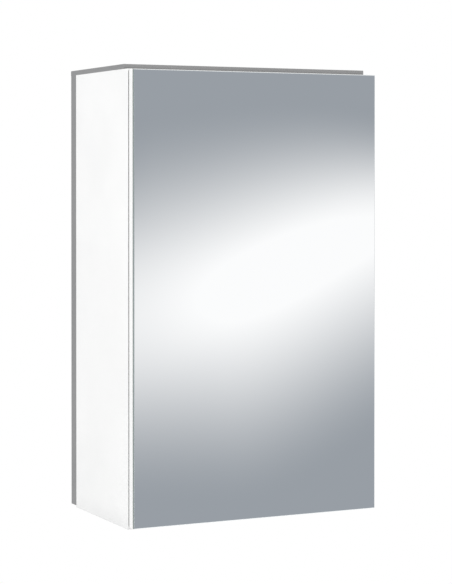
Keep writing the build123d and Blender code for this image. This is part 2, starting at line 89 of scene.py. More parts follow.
ROUND_SIDES = 28  # of a screw's head and shank
SENSOR_WIDTH = 36.0  # millimetres


# Settings


class CabinetFinishes(bpy.types.PropertyGroup):
    """Colours of the cabinet's boards, glass and metals"""

    white_laminate: FloatVectorProperty(
        name="White Laminate",
        description="Colour of the carcass boards",
        default=(0.86, 0.86, 0.855),
        **TINT,
    )
    # Painted shadow: this grey stands in for a drop shadow along the cabinet's left and
    # top edges, laid on the modelled back board and top cover
    drop_shadow_grey: FloatVectorProperty(
        name="Drop Shadow Grey",
        description="Colour of the back board and the top cover",
        default=(0.245, 0.245, 0.2465),
        **TINT,
    )
    door_lacquer: FloatVectorProperty(
        name="Door Lacquer",
        description="Colour of the door board behind the mirror",
        default=(0.87, 0.87, 0.865),
        **TINT,
    )
    silver: FloatVectorProperty(
        name="Silvering",
        description="Colour of the mirror's reflection",
        default=(0.965, 0.972, 0.978),
        **TINT,
    )
    glass_edge: FloatVectorProperty(
        name="Glass Edge",
        description="Colour of the ground edges of mirror and shelves",
        default=(0.16, 0.2, 0.185),
        **TINT,
    )
    nickel: FloatVectorProperty(
        name="Nickel Plating",
        description="Colour of the hinges and screws",
        default=(0.82, 0.81, 0.79),
        **TINT,
    )
    zinc: FloatVectorProperty(
        name="Die-Cast Zinc",
        description="Colour of the cams and bolts",
        default=(0.56, 0.57, 0.585),
        **TINT,
    )
    beech: FloatVectorProperty(
        name="Beech",
        description="Colour of the dowels",
        default=(0.56, 0.35, 0.19),
        **TINT,
    )


class FastenerSizes(bpy.types.PropertyGroup):
    """Sizes of the threads, drives and flutes that the plain solids leave out"""

    board_shank: FloatProperty(
        name="Board Screw Radius",
        description="Outer thread radius of the screws in boards and hinge plates",
        unit="LENGTH",
        default=0.002,
        min=0.0005,
    )
    board_pitch: FloatProperty(
        name="Board Screw Pitch",
        description="Distance between two threads of a board screw",
        unit="LENGTH",
        default=0.0018,
        min=0.0003,
    )
    cup_shank: FloatProperty(
        name="Cup Screw Radius",
        description="Outer thread radius of the screws in the hinge cups",
        unit="LENGTH",
        default=0.0015,
        min=0.0005,
    )
    strike_shank: FloatProperty(
        name="Strike Screw Radius",
        description="Outer thread radius of the strike plate's screw",
        unit="LENGTH",
        default=0.0014,
        min=0.0005,
    )
    fine_pitch: FloatProperty(
        name="Fine Pitch",
        description="Distance between two threads of a cup or strike screw",
        unit="LENGTH",
        default=0.0011,
        min=0.0003,
    )
    machine_pitch: FloatProperty(
        name="Machine Pitch",
        description="Distance between two threads of a hinge adjusting screw",
        unit="LENGTH",
        default=0.0007,
        min=0.0003,
    )
    thread_depth: FloatProperty(
        name="Thread Depth",
        description="Height of a thread, as a share of the screw's radius",
        subtype="FACTOR",
        default=0.24,
        min=0.05,
        max=0.5,
    )
    drive_width: FloatProperty(
        name="Drive Width",
        description="Length of the cross drive, as a share of the head's diameter",
        subtype="FACTOR",
        default=0.6,
        min=0.2,
        max=0.9,
    )
    flutes: IntProperty(
        name="Dowel Flutes",
        description="Number of glue flutes round a dowel",
        default=16,
        min=6,
        max=40,
    )
    flute_depth: FloatProperty(
        name="Flute Depth",
        description="Depth of a dowel's glue flutes",
        unit="LENGTH",
        default=0.00035,
        min=0.0,
    )
    dowel_chamfer: FloatProperty(
        name="Dowel Chamfer",
        description="Chamfer at both ends of a dowel",
        unit="LENGTH",
        default=0.0008,
        min=0.0,
    )


class StudioSettings(bpy.types.PropertyGroup):
    """Camera, lamps, floor and reflected surroundings"""

    camera_place: FloatVectorProperty(
        name="Camera Place",
        description="Place of the camera, from the middle of the wall screws",
        subtype="TRANSLATION",
        default=(-0.9369, -2.0428, 0.1333),
    )
    camera_heading: FloatProperty(
        name="Camera Heading",
        description="Turn of the camera from square on to the cabinet",
        subtype="ANGLE",
        default=math.radians(25.79),
    )
    camera_pitch: FloatProperty(
        name="Camera Pitch",
        description="Tilt of the camera above the horizon",
        subtype="ANGLE",
        default=math.radians(-0.6),
    )
    camera_lens: FloatProperty(
        name="Focal Length",
        description="Focal length for a sensor 36 mm along the picture's long side",
        unit="CAMERA",
        default=115.53,
    )
    camera_shift: FloatProperty(
        name="Vertical Shift",
        description="Lens shift that keeps the cabinet's uprights upright",
        default=-0.1646,
    )
    room_light: FloatProperty(
        name="Room Light",
        description="Strength of the even light from all round",
        default=0.93,
        min=0.0,
    )
    key_power: FloatProperty(
        name="Key Lamp",
        description="Power of the large lamp on the left",
        unit="POWER",
        default=37.5,
        min=0.0,
    )
    fill_power: FloatProperty(
        name="Fill Lamp",
        description="Power of the large lamp on the right",
        unit="POWER",
        default=12.0,
        min=0.0,
    )
    floor_drop: FloatProperty(
        name="Floor Drop",
        description="Height of the wall screw pattern above the floor",
        unit="LENGTH",
        default=1.25,
        min=0.3,
    )
    floor_radius: FloatProperty(
        name="Floor Radius",
        description="Radius of the round studio floor",
        unit="LENGTH",
        default=3.4,
        min=0.5,
    )
    grey_card: FloatVectorProperty(
        name="Grey Surroundings",
        description="Colour that the mirror shows above and below the white panel",
        default=(0.325, 0.352, 0.385),
        **TINT,
    )
    white_panel: FloatVectorProperty(
        name="White Panel",
        description="Colour of the long white panel that the mirror shows",
        default=(1.0, 1.0, 1.0),
        **TINT,
    )


# Nodes


def put(tree, kind, **settings):
    """New node of a kind, with its settings."""
    node = tree.nodes.new(kind)
    for name, value in settings.items():
        setattr(node, name, value)
    return node


def feed(tree, socket, value):
    """Link a socket to another one, or set its value."""
    if isinstance(value, bpy.types.NodeSocket):
        tree.links.new(value, socket)
    elif hasattr(value, "__len__") and len(socket.default_value) > len(value):
        socket.default_value = (*value, 1.0)
    else:
        socket.default_value = value


def wire(tree, node, **inputs):
    """Feed a node's inputs by name."""
    for label, value in inputs.items():
        feed(tree, node.inputs[label.replace("_", " ")], value)


def compute(tree, operation, *values, clamp=False):
    """Result of one Math node; works in shader and geometry trees."""
    node = put(tree, "ShaderNodeMath", operation=operation, use_clamp=clamp)
    for socket, value in zip(node.inputs, values):
        feed(tree, socket, value)
    return node.outputs[0]


def ramp_over(tree, value, low, high, start=0.0, end=1.0, smooth=True):
    """Value carried from the range low to high into the range start to end."""
    kind = "SMOOTHSTEP" if smooth else "LINEAR"
    node = put(tree, "ShaderNodeMapRange", interpolation_type=kind)
    for name, amount in (
        ("Value", value),
        ("From Min", low),
        ("From Max", high),
        ("To Min", start),
        ("To Max", end),
    ):
        feed(tree, node.inputs[name], amount)
    return node.outputs["Result"]


def mix_colours(tree, factor, first, second, blend_type="MIX"):
    """Colour between two colours."""
    node = put(tree, "ShaderNodeMix", data_type="RGBA", blend_type=blend_type)
    feed(tree, node.inputs[0], factor)
    feed(tree, node.inputs[6], first)
    feed(tree, node.inputs[7], second)
    return node.outputs[2]


def speckle(tree, place, scale, detail=2.0, stretch=(1.0, 1.0, 1.0)):
    """Noise of a scale in metres, stretched along an axis where asked."""
    mapping = put(tree, "ShaderNodeMapping")
    feed(tree, mapping.inputs["Vector"], place)
    mapping.inputs["Scale"].default_value = stretch
    noise = put(tree, "ShaderNodeTexNoise")
    feed(tree, noise.inputs["Vector"], mapping.outputs["Vector"])
    noise.inputs["Scale"].default_value = 1.0 / scale
    noise.inputs["Detail"].default_value = detail
    return noise.outputs[0]


def bump(tree, height, distance, strength=1.0, under=None):
    """Surface normal raised by a height, over a distance in metres."""
    node = put(tree, "ShaderNodeBump")
    feed(tree, node.inputs["Height"], height)
    node.inputs["Distance"].default_value = distance
    node.inputs["Strength"].default_value = strength
    if under is not None:
        feed(tree, node.inputs["Normal"], under)
    return node.outputs["Normal"]


def begin_finish(name, roughness=0.5, metallic=0.0, **constants):
    """New material with its Principled shader, and the piece's own coordinates."""
    material = bpy.data.materials.new(name)
    material.use_nodes = True
    tree = material.node_tree
    tree.nodes.clear()
    output = put(tree, "ShaderNodeOutputMaterial")
    shader = put(tree, "ShaderNodeBsdfPrincipled")
    tree.links.new(shader.outputs["BSDF"], output.inputs["Surface"])
    shader.inputs["Roughness"].default_value = roughness
    shader.inputs["Metallic"].default_value = metallic
    wire(tree, shader, **constants)
    place = put(tree, "ShaderNodeTexCoord").outputs["Object"]
    return material, tree, shader, place


def split_axes(tree, place):
    """The three coordinates of a place."""
    node = put(tree, "ShaderNodeSeparateXYZ")
    feed(tree, node.inputs[0], place)
    return tuple(node.outputs)


def wall_distances(tree, place, low, high):
    """Coordinates in a block, depth under its nearest face, distance to its edges."""
    axes = split_axes(tree, place)
    depths = []
    for index in range(3):
        centre = (low[index] + high[index]) / 2
        half = (high[index] - low[index]) / 2
        offset = compute(tree, "SUBTRACT", axes[index], centre)
        depths.append(
            compute(tree, "SUBTRACT", half, compute(tree, "ABSOLUTE", offset))
        )
    nearer = compute(tree, "MINIMUM", depths[0], depths[1])
    farther = compute(tree, "MAXIMUM", depths[0], depths[1])
    depth = compute(tree, "MINIMUM", nearer, depths[2])
    edge = compute(
        tree, "MAXIMUM", nearer, compute(tree, "MINIMUM", farther, depths[2])
    )
    return axes, depth, edge


def dress(material, *names):
    """Give CAD nodes a finish, without touching their shapes."""
    for name in names:
        slots = NODES[name].data.materials
        slots.clear()
        slots.append(material)


# Finishes


def chipboard_colour(tree, place):
    """Pressed chips, as they show inside a drilled bore."""
    chips = put(tree, "ShaderNodeTexVoronoi", feature="F1")
    feed(tree, chips.inputs["Vector"], place)
    chips.inputs["Scale"].default_value = 700.0
    separate = put(tree, "ShaderNodeSeparateColor")
    feed(tree, separate.inputs[0], chips.outputs["Color"])
    tone = compute(tree, "MULTIPLY", separate.outputs[0], 0.8)
    return mix_colours(tree, tone, (0.5, 0.35, 0.2), (0.24, 0.15, 0.08))


def painted_gap_shade(tree, darkest):
    """Painted shade: tone that falls off inside narrow gaps and corners, where shade
    falls.
    """
    node = put(tree, "ShaderNodeAmbientOcclusion", samples=8)
    node.inputs["Distance"].default_value = GAP_REACH
    return ramp_over(tree, node.outputs["AO"], 0.42, 0.85, darkest, 1.0)


def laminate(
    name, colour, node, band=0.0008, gloss=0.34, grain=0.012, low_edge_shade=0.0, dust_and_gap_shade=0.1
):
    """Laminated board: banded front edge, worn corners, raw bores, painted shade in gaps
    and corners, and painted shade towards the lower edge where asked.
    """
    low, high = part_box(node)
    material, tree, shader, place = begin_finish(name)
    axes, depth, edge = wall_distances(tree, place, low, high)

    cloud = speckle(tree, place, 0.09, 3.0)
    fine = speckle(tree, place, 0.0016, 3.0)
    dark = [channel * (1.0 - grain) for channel in colour]
    light = [min(1.0, channel * (1.0 + grain)) for channel in colour]
    face = mix_colours(tree, ramp_over(tree, cloud, 0.3, 0.7), dark, light)
    face = mix_colours(
        tree, ramp_over(tree, fine, 0.45, 0.75, 0.0, 0.2), face, light
    )

    front = compute(tree, "SUBTRACT", axes[1], low.y + band)
    seam = ramp_over(
        tree, compute(tree, "ABSOLUTE", front), 0.00006, 0.0002, 0.3, 0.0
    )
    glue = [channel * 0.62 for channel in colour]
    face = mix_colours(tree, seam, face, glue)

    scuff = ramp_over(tree, speckle(tree, place, 0.012, 4.0), 0.52, 0.7)
    worn = compute(
        tree, "MULTIPLY", ramp_over(tree, edge, 0.0003, 0.0014, 1.0, 0.0), scuff
    )
    worn_colour = [channel * 0.8 for channel in colour]
    face = mix_colours(
        tree, compute(tree, "MULTIPLY", worn, 0.3), face, worn_colour
    )
    # Painted shade: the colour darkens over the lowest 20 mm of the board, with a darker
    # line at the very edge
    if low_edge_shade:
        height = compute(tree, "SUBTRACT", axes[2], low.z)
        soft = ramp_over(tree, height, 0.0, 0.02, low_edge_shade, 0.0)
        rim = ramp_over(tree, height, 0.0005, 0.0012, low_edge_shade, 0.0)
        shade = [channel * 0.5 for channel in colour]
        face = mix_colours(tree, compute(tree, "ADD", soft, rim), face, shade)

    bored = ramp_over(tree, depth, *BORE_START)
    colours = mix_colours(tree, bored, face, chipboard_colour(tree, place))
    # Painted shade: ambient occlusion darkens the colour in gaps and corners
    gap_shaded = mix_colours(
        tree, 1.0, colours, painted_gap_shade(tree, dust_and_gap_shade), blend_type="MULTIPLY"
    )

    smear = speckle(tree, place, 0.035, 4.0)
    satin = ramp_over(tree, smear, 0.35, 0.7, gloss - 0.05, gloss + 0.06)
    rough = compute(tree, "ADD", satin, compute(tree, "MULTIPLY", worn, 0.2))
    rough = compute(
        tree, "MAXIMUM", rough, compute(tree, "MULTIPLY", bored, 0.85)
    )
    peel = bump(tree, speckle(tree, place, 0.0011, 2.0), 0.00002, 0.2)
    chips = bump(
        tree,
        compute(tree, "MULTIPLY", speckle(tree, place, 0.0009, 3.0), bored),
        0.0003,
        0.8,
        peel,
    )
    wire(tree, shader, Base_Color=gap_shaded, Roughness=rough, Normal=chips)
    return material


def silvered_glass(name, silver, edge_colour, node):
    """Mirror: silvered face with wipe marks, bright bevel, ground edge, grey back."""
    material, tree, shader, place = begin_finish(name)
    front = compute(
        tree, "SUBTRACT", split_axes(tree, place)[1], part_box(node)[0].y
    )
    face = ramp_over(tree, front, 0.00005, 0.0001, 1.0, 0.0)
    backing = ramp_over(tree, front, *PAINT_START)

    bevel = ramp_over(tree, front, *BEVEL_END, 1.0, 0.0)
    saw = speckle(tree, place, 0.0008, 3.0, (1.0, 12.0, 1.0))
    rim = mix_colours(
        tree, ramp_over(tree, saw, 0.3, 0.7), edge_colour, (0.24, 0.29, 0.275)
    )
    rim = mix_colours(tree, bevel, rim, (0.78, 0.81, 0.82))
    paint = mix_colours(
        tree, speckle(tree, place, 0.02, 3.0), (0.2, 0.21, 0.22), (0.27, 0.28, 0.29)
    )
    rim = mix_colours(tree, backing, rim, paint)
    metal = compute(tree, "MAXIMUM", face, compute(tree, "MULTIPLY", bevel, 0.9))

    wipe = speckle(tree, place, 0.05, 5.0, (1.0, 1.0, 0.35))
    film = ramp_over(tree, wipe, 0.58, 0.8, 0.0, 0.025)
    ground = ramp_over(tree, bevel, 0.0, 1.0, 0.42, 0.16, smooth=False)
    rough = put(tree, "ShaderNodeMix", data_type="FLOAT")
    feed(tree, rough.inputs[0], face)
    feed(tree, rough.inputs[2], ground)
    feed(tree, rough.inputs[3], film)
    grind = compute(tree, "MULTIPLY", saw, compute(tree, "SUBTRACT", 1.0, face))
    wire(
        tree,
        shader,
        Base_Color=mix_colours(tree, face, rim, silver),
        Metallic=metal,
        Roughness=rough.outputs[0],
        Normal=bump(tree, grind, 0.00008, 0.5),
    )
    return material


def shelf_glass(name, edge_colour, node):
    """Clear float glass with polished green edges and a little dust."""
    low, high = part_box(node)
    material, tree, shader, place = begin_finish(
        name, roughness=0.02, Transmission_Weight=1.0, IOR=1.5
    )
    middle = (low.z + high.z) / 2
    half = (high.z - low.z) / 2
    height = compute(tree, "SUBTRACT", split_axes(tree, place)[2], middle)
    offset = compute(tree, "ABSOLUTE", height)
    side = ramp_over(tree, offset, half - 0.0008, half - 0.0002, 1.0, 0.0)
    streak = speckle(tree, place, 0.01, 3.0, (0.2, 0.2, 3.0))
    green = mix_colours(tree, streak, edge_colour, (0.3, 0.52, 0.44))
    clear = mix_colours(tree, side, (0.93, 0.975, 0.955), green)
    dust_and_gap_shade = ramp_over(tree, speckle(tree, place, 0.006, 5.0), 0.55, 0.8, 0.01, 0.12)
    polish = compute(tree, "MAXIMUM", dust_and_gap_shade, compute(tree, "MULTIPLY", side, 0.18))
    wire(tree, shader, Base_Color=clear, Roughness=polish)
    return material


def plated_steel(name, colour, draw=(6.0, 1.0, 6.0), rough=0.27):
    """Nickel-plated sheet with fine draw marks, handling marks and a little dulling."""
    material, tree, shader, place = begin_finish(name, metallic=1.0)
    marks = speckle(tree, place, 0.0012, 3.0, draw)
    haze = speckle(tree, place, 0.014, 4.0)
    dull = [channel * 0.72 for channel in colour]
    handled = ramp_over(tree, haze, 0.42, 0.72, 0.0, 0.6)
    base = ramp_over(tree, haze, 0.35, 0.7, rough - 0.06, rough + 0.1)
    streaks = ramp_over(tree, marks, 0.3, 0.7, -0.05, 0.07)
    wire(
        tree,
        shader,
        Base_Color=mix_colours(tree, handled, colour, dull),
        Roughness=compute(tree, "ADD", base, streaks),
        Normal=bump(tree, marks, 0.00003, 0.45),
    )
    return material


def cast_zinc(name, colour):
    """Die-cast zinc: matt, pitted, with darker hollows."""
    material, tree, shader, place = begin_finish(name, metallic=1.0)
    pits = speckle(tree, place, 0.0007, 4.0)
    stain = speckle(tree, place, 0.006, 3.0)
    dark = [channel * 0.6 for channel in colour]
    wire(
        tree,
        shader,
        Base_Color=mix_colours(tree, ramp_over(tree, stain, 0.4, 0.75), colour, dark),
        Roughness=ramp_over(tree, pits, 0.3, 0.7, 0.38, 0.56),
        Normal=bump(tree, pits, 0.00006, 0.6),
    )
    return material


def sintered_magnet(name):
    """Dark pressed ferrite with a fine grain and chalky corners."""
    low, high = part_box("catch_magnet")
    material, tree, shader, place = begin_finish(name, metallic=0.3)
    grain = speckle(tree, place, 0.0005, 4.0)
    edge = wall_distances(tree, place, low, high)[2]
    body = mix_colours(tree, grain, (0.045, 0.045, 0.05), (0.1, 0.1, 0.105))
    rubbed = ramp_over(tree, edge, 0.0002, 0.0011, 0.6, 0.0)
    wire(
        tree,
        shader,
        Base_Color=mix_colours(tree, rubbed, body, (0.24, 0.24, 0.25)),
        Roughness=ramp_over(tree, grain, 0.3, 0.7, 0.45, 0.65),
        Normal=bump(tree, grain, 0.00005, 0.6),
    )
    return material


def moulded_plastic(name):
    """White injection moulding with a fine spark-eroded texture."""
    material, tree, shader, place = begin_finish(name)
    texture = speckle(tree, place, 0.0006, 3.0)
    cloud = speckle(tree, place, 0.01, 2.0)
    wire(
        tree,
        shader,
        Base_Color=mix_colours(tree, cloud, (0.78, 0.775, 0.755), (0.85, 0.85, 0.84)),
        Roughness=ramp_over(tree, texture, 0.3, 0.7, 0.42, 0.55),
        Normal=bump(tree, texture, 0.00004, 0.5),
    )
    return material


def soft_pad(name):
    """Clear soft pad that has gone a little cloudy."""
    material, tree, shader, place = begin_finish(
        name, Transmission_Weight=0.45, IOR=1.45
    )
    cloud = speckle(tree, place, 0.002, 3.0)
    wire(
        tree,
        shader,
        Base_Color=mix_colours(tree, cloud, (0.78, 0.79, 0.78), (0.9, 0.9, 0.89)),
        Roughness=ramp_over(tree, cloud, 0.3, 0.7, 0.22, 0.45),
        Normal=bump(tree, cloud, 0.0001, 0.3),
    )
    return material


def foam_tape(name):
    """White foam tape with open pores at its cut sides, the pores darkened as painted
    shade.
    """
    material, tree, shader, place = begin_finish(name, roughness=0.85)
    pores = put(tree, "ShaderNodeTexVoronoi", feature="F1")
    feed(tree, pores.inputs["Vector"], place)
    pores.inputs["Scale"].default_value = 3200.0
    # Painted shade: the pores are coloured darker than the foam
    pore_shade = ramp_over(tree, pores.outputs["Distance"], 0.1, 0.6)
    wire(
        tree,
        shader,
        Base_Color=mix_colours(tree, pore_shade, (0.48, 0.48, 0.46), (0.78, 0.78, 0.75)),
        Normal=bump(tree, pore_shade, 0.0001, 0.7),
    )
    return material


def beech(name, colour):
    """Bare beech with short dark rays along the dowel."""
    material, tree, shader, place = begin_finish(name)
    grain = speckle(tree, place, 0.0012, 4.0, (0.12, 1.0, 1.0))
    rays = speckle(tree, place, 0.0005, 2.0, (0.25, 1.0, 1.0))
    pale = [min(1.0, channel * 1.25) for channel in colour]
    ray_colour = [channel * 0.55 for channel in colour]
    wood = mix_colours(tree, ramp_over(tree, grain, 0.3, 0.7), colour, pale)
    wood = mix_colours(tree, ramp_over(tree, rays, 0.6, 0.72), wood, ray_colour)
    wire(
        tree,
        shader,
        Base_Color=wood,
        Roughness=ramp_over(tree, grain, 0.3, 0.7, 0.58, 0.75),
        Normal=bump(tree, grain, 0.00008, 0.5),
    )
    return material


# Repeated fasteners


def separate_solids(name):
    """Lowest and highest corner of each separate solid in a CAD node."""
    mesh = bmesh.new()
    mesh.from_mesh(NODES[name].data)
    bmesh.ops.remove_doubles(mesh, verts=mesh.verts, dist=1e-6)
    waiting = set(mesh.verts)
    boxes = []
    while waiting:
        reached = [waiting.pop()]
        corners = []
        while reached:
            vertex = reached.pop()
            corners.append(vertex.co.copy())
            for link in vertex.link_edges:
                other = link.other_vert(vertex)
                if other in waiting:
                    waiting.remove(other)
                    reached.append(other)
        low = Vector(min(c[i] for c in corners) for i in range(3))
        high = Vector(max(c[i] for c in corners) for i in range(3))
        boxes.append((low, high))
    mesh.free()
    return sorted(boxes, key=lambda box: tuple(box[0]))


def new_group(name, inputs):
    """Geometry node group with named inputs, its input node and its output node."""
    tree = bpy.data.node_groups.new(name, "GeometryNodeTree")
    geometry = "NodeSocketGeometry"
    tree.interface.new_socket("Places", in_out="INPUT", socket_type=geometry)
    for label, kind, default in inputs:
        socket = tree.interface.new_socket(label, in_out="INPUT", socket_type=kind)
        if default is not None:
            socket.default_value = default
    tree.interface.new_socket("Shape", in_out="OUTPUT", socket_type=geometry)
    return tree, put(tree, "NodeGroupInput"), put(tree, "NodeGroupOutput")


def raised(tree, shape, height):
    """Shape moved up by a height."""
    offset = put(tree, "ShaderNodeCombineXYZ")
    feed(tree, offset.inputs["Z"], height)
    move = put(tree, "GeometryNodeTransform")
    feed(tree, move.inputs["Geometry"], shape)
    feed(tree, move.inputs["Translation"], offset.outputs[0])
    return move.outputs[0]


def frustum(tree, base_radius, top_radius, base, top):
    """Closed cone or cylinder between two heights."""
    cone = put(tree, "GeometryNodeMeshCone", fill_type="NGON")
    cone.inputs["Vertices"].default_value = ROUND_SIDES
    wire(
        tree,
        cone,
        Radius_Top=top_radius,
        Radius_Bottom=base_radius,
        Depth=compute(tree, "SUBTRACT", top, base),
    )
    return raised(tree, cone.outputs["Mesh"], base)


def place_copies(tree, source, shape, output):
    """Copies on every place, faced along the direction, then real and finished."""
    face = put(tree, "FunctionNodeAlignRotationToVector", axis="Z")
    feed(tree, face.inputs["Vector"], source.outputs["Direction"])
    turn = put(tree, "FunctionNodeRandomValue", data_type="FLOAT")
    wanted = {"Min": 0.0, "Max": 2 * math.pi}
    for socket in turn.inputs:
        if socket.enabled and socket.name in wanted:
            socket.default_value = wanted[socket.name]
    feed(tree, turn.inputs["Seed"], source.outputs["Seed"])
    about = put(tree, "FunctionNodeAxisAngleToRotation")
    about.inputs["Axis"].default_value = (0.0, 0.0, 1.0)
    angle = next(s for s in turn.outputs if s.enabled)
    feed(tree, about.inputs["Angle"], angle)
    spin = put(tree, "FunctionNodeRotateRotation", rotation_space="LOCAL")
    feed(tree, spin.inputs["Rotation"], face.outputs[0])
    feed(tree, spin.inputs["Rotate By"], about.outputs[0])
    spread = put(tree, "GeometryNodeInstanceOnPoints")
    feed(tree, spread.inputs["Points"], source.outputs["Places"])
    feed(tree, spread.inputs["Instance"], shape)
    feed(tree, spread.inputs["Rotation"], spin.outputs[0])
    real = put(tree, "GeometryNodeRealizeInstances")
    feed(tree, real.inputs[0], spread.outputs[0])
    coat = put(tree, "GeometryNodeSetMaterial")
    feed(tree, coat.inputs["Geometry"], real.outputs[0])
    feed(tree, coat.inputs["Material"], source.outputs["Finish"])
    feed(tree, output.inputs[0], coat.outputs[0])


def screw_group():
    """Cross-drive screw with a rolled thread, head up, repeated on every place."""
    number = "NodeSocketFloat"
    tree, source, output = new_group(
        "threaded_screw",
        (
            ("Length", number, 0.02),
            ("Thread Radius", number, 0.002),
            ("Thread Share", number, 0.24),
            ("Pitch", number, 0.0018),
            ("Head Radius", number, 0.004),
            ("Neck Radius", number, 0.002),
            ("Head Top", number, 0.0),
            ("Head Base", number, -0.0024),
            ("Drive Share", number, 0.6),
            ("Direction", "NodeSocketVector", (0.0, 0.0, 1.0)),
            ("Seed", "NodeSocketInt", 3),
            ("Finish", "NodeSocketMaterial", None),
        ),
    )
    size = source.outputs
    tooth = compute(tree, "MULTIPLY", size["Thread Radius"], size["Thread Share"])
    core = compute(tree, "SUBTRACT", size["Thread Radius"], tooth)
    tip = compute(tree, "MULTIPLY", core, 2.2)
    bottom = compute(tree, "MULTIPLY", size["Length"], -1.0)
    tip_base = compute(tree, "ADD", bottom, tip)

    ends = ("Neck Radius", "Head Radius", "Head Base", "Head Top")
    head = frustum(tree, *(size[end] for end in ends))
    width = compute(tree, "MULTIPLY", size["Head Radius"], 2.0)
    long_side = compute(tree, "MULTIPLY", width, size["Drive Share"])
    short_side = compute(tree, "MULTIPLY", long_side, 0.24)
    deep = compute(tree, "SUBTRACT", size["Head Top"], size["Head Base"])
    cut = put(tree, "GeometryNodeMeshBoolean", operation="DIFFERENCE")
    feed(tree, cut.inputs["Mesh 1"], head)
    for x, y in ((long_side, short_side), (short_side, long_side)):
        extent = put(tree, "ShaderNodeCombineXYZ")
        wire(tree, extent, X=x, Y=y, Z=deep)
        slot = put(tree, "GeometryNodeMeshCube")
        feed(tree, slot.inputs["Size"], extent.outputs[0])
        feed(
            tree,
            cut.inputs["Mesh 2"],
            raised(tree, slot.outputs["Mesh"], size["Head Top"]),
        )

    shank = frustum(tree, core, core, tip_base, size["Head Base"])
    point = frustum(tree, compute(tree, "MULTIPLY", core, 0.08), core, bottom, tip_base)

    reach = compute(tree, "SUBTRACT", size["Head Base"], tip_base)
    run = compute(tree, "MULTIPLY", reach, 0.94)
    helix = put(tree, "GeometryNodeCurveSpiral")
    helix.inputs["Resolution"].default_value = 14
    wire(
        tree,
        helix,
        Rotations=compute(tree, "DIVIDE", run, size["Pitch"]),
        Start_Radius=core,
        End_Radius=core,
        Height=run,
    )
    upright = put(tree, "GeometryNodeSetCurveNormal", mode="Z_UP")
    feed(tree, upright.inputs[0], helix.outputs[0])
    profile = put(tree, "GeometryNodeCurvePrimitiveCircle", mode="RADIUS")
    profile.inputs["Resolution"].default_value = 3
    feed(tree, profile.inputs["Radius"], tooth)
    thread = put(tree, "GeometryNodeCurveToMesh")
    feed(tree, thread.inputs["Curve"], upright.outputs[0])
    feed(tree, thread.inputs["Profile Curve"], profile.outputs["Curve"])
    thread.inputs["Fill Caps"].default_value = True

    joined = put(tree, "GeometryNodeJoinGeometry")
    for part in (
        cut.outputs["Mesh"],
        shank,
        point,
        raised(tree, thread.outputs[0], tip_base),
    ):
        feed(tree, joined.inputs[0], part)
    place_copies(tree, source, joined.outputs[0], output)
    return tree


def dowel_group():
    """Fluted dowel with chamfered ends, repeated on every place."""
    number = "NodeSocketFloat"
    tree, source, output = new_group(
        "fluted_dowel",
        (
            ("Length", number, 0.03),
            ("Radius", number, 0.004),
            ("Flutes", "NodeSocketInt", 16),
            ("Flute Depth", number, 0.00035),
            ("Chamfer", number, 0.0008),
            ("Direction", "NodeSocketVector", (1.0, 0.0, 0.0)),
            ("Seed", "NodeSocketInt", 5),
            ("Finish", "NodeSocketMaterial", None),
        ),
    )
    size = source.outputs
    line = put(tree, "GeometryNodeMeshLine", mode="OFFSET", count_mode="TOTAL")
    line.inputs["Count"].default_value = 4
    half = compute(tree, "MULTIPLY", size["Length"], 0.5)
    inner = compute(tree, "SUBTRACT", half, size["Chamfer"])
    index = put(tree, "GeometryNodeInputIndex").outputs[0]
    heights = put(tree, "GeometryNodeIndexSwitch", data_type="FLOAT")
    widths = put(tree, "GeometryNodeIndexSwitch", data_type="FLOAT")
    for switch in (heights, widths):
        switch.index_switch_items.new()
        switch.index_switch_items.new()
        feed(tree, switch.inputs["Index"], index)
    shrunk = compute(
        tree,
        "DIVIDE",
        compute(tree, "SUBTRACT", size["Radius"], size["Chamfer"]),
        size["Radius"],
    )
    down = compute(tree, "MULTIPLY", half, -1.0)
    inner_down = compute(tree, "MULTIPLY", inner, -1.0)
    for step, height in enumerate((down, inner_down, inner, half)):
        feed(tree, heights.inputs[step + 1], height)
    for step, width in enumerate((shrunk, 1.0, 1.0, shrunk)):
        feed(tree, widths.inputs[step + 1], width)
    spot = put(tree, "ShaderNodeCombineXYZ")
    feed(tree, spot.inputs["Z"], heights.outputs[0])
    moved = put(tree, "GeometryNodeSetPosition")
    feed(tree, moved.inputs["Geometry"], line.outputs[0])
    feed(tree, moved.inputs["Position"], spot.outputs[0])
    path = put(tree, "GeometryNodeMeshToCurve")
    feed(tree, path.inputs[0], moved.outputs[0])
    tapered = put(tree, "GeometryNodeSetCurveRadius")
    feed(tree, tapered.inputs["Curve"], path.outputs[0])
    feed(tree, tapered.inputs["Radius"], widths.outputs[0])
    fluted = put(tree, "GeometryNodeCurveStar")
    feed(tree, fluted.inputs["Points"], size["Flutes"])
    feed(
        tree,
        fluted.inputs["Inner Radius"],
        compute(tree, "SUBTRACT", size["Radius"], size["Flute Depth"]),
    )
    feed(tree, fluted.inputs["Outer Radius"], size["Radius"])
    body = put(tree, "GeometryNodeCurveToMesh")
    feed(tree, body.inputs["Curve"], tapered.outputs[0])
    feed(tree, body.inputs["Profile Curve"], fluted.outputs["Curve"])
    body.inputs["Fill Caps"].default_value = True
    if "Scale" in body.inputs:
        feed(tree, body.inputs["Scale"], widths.outputs[0])
    place_copies(tree, source, body.outputs[0], output)
    return tree


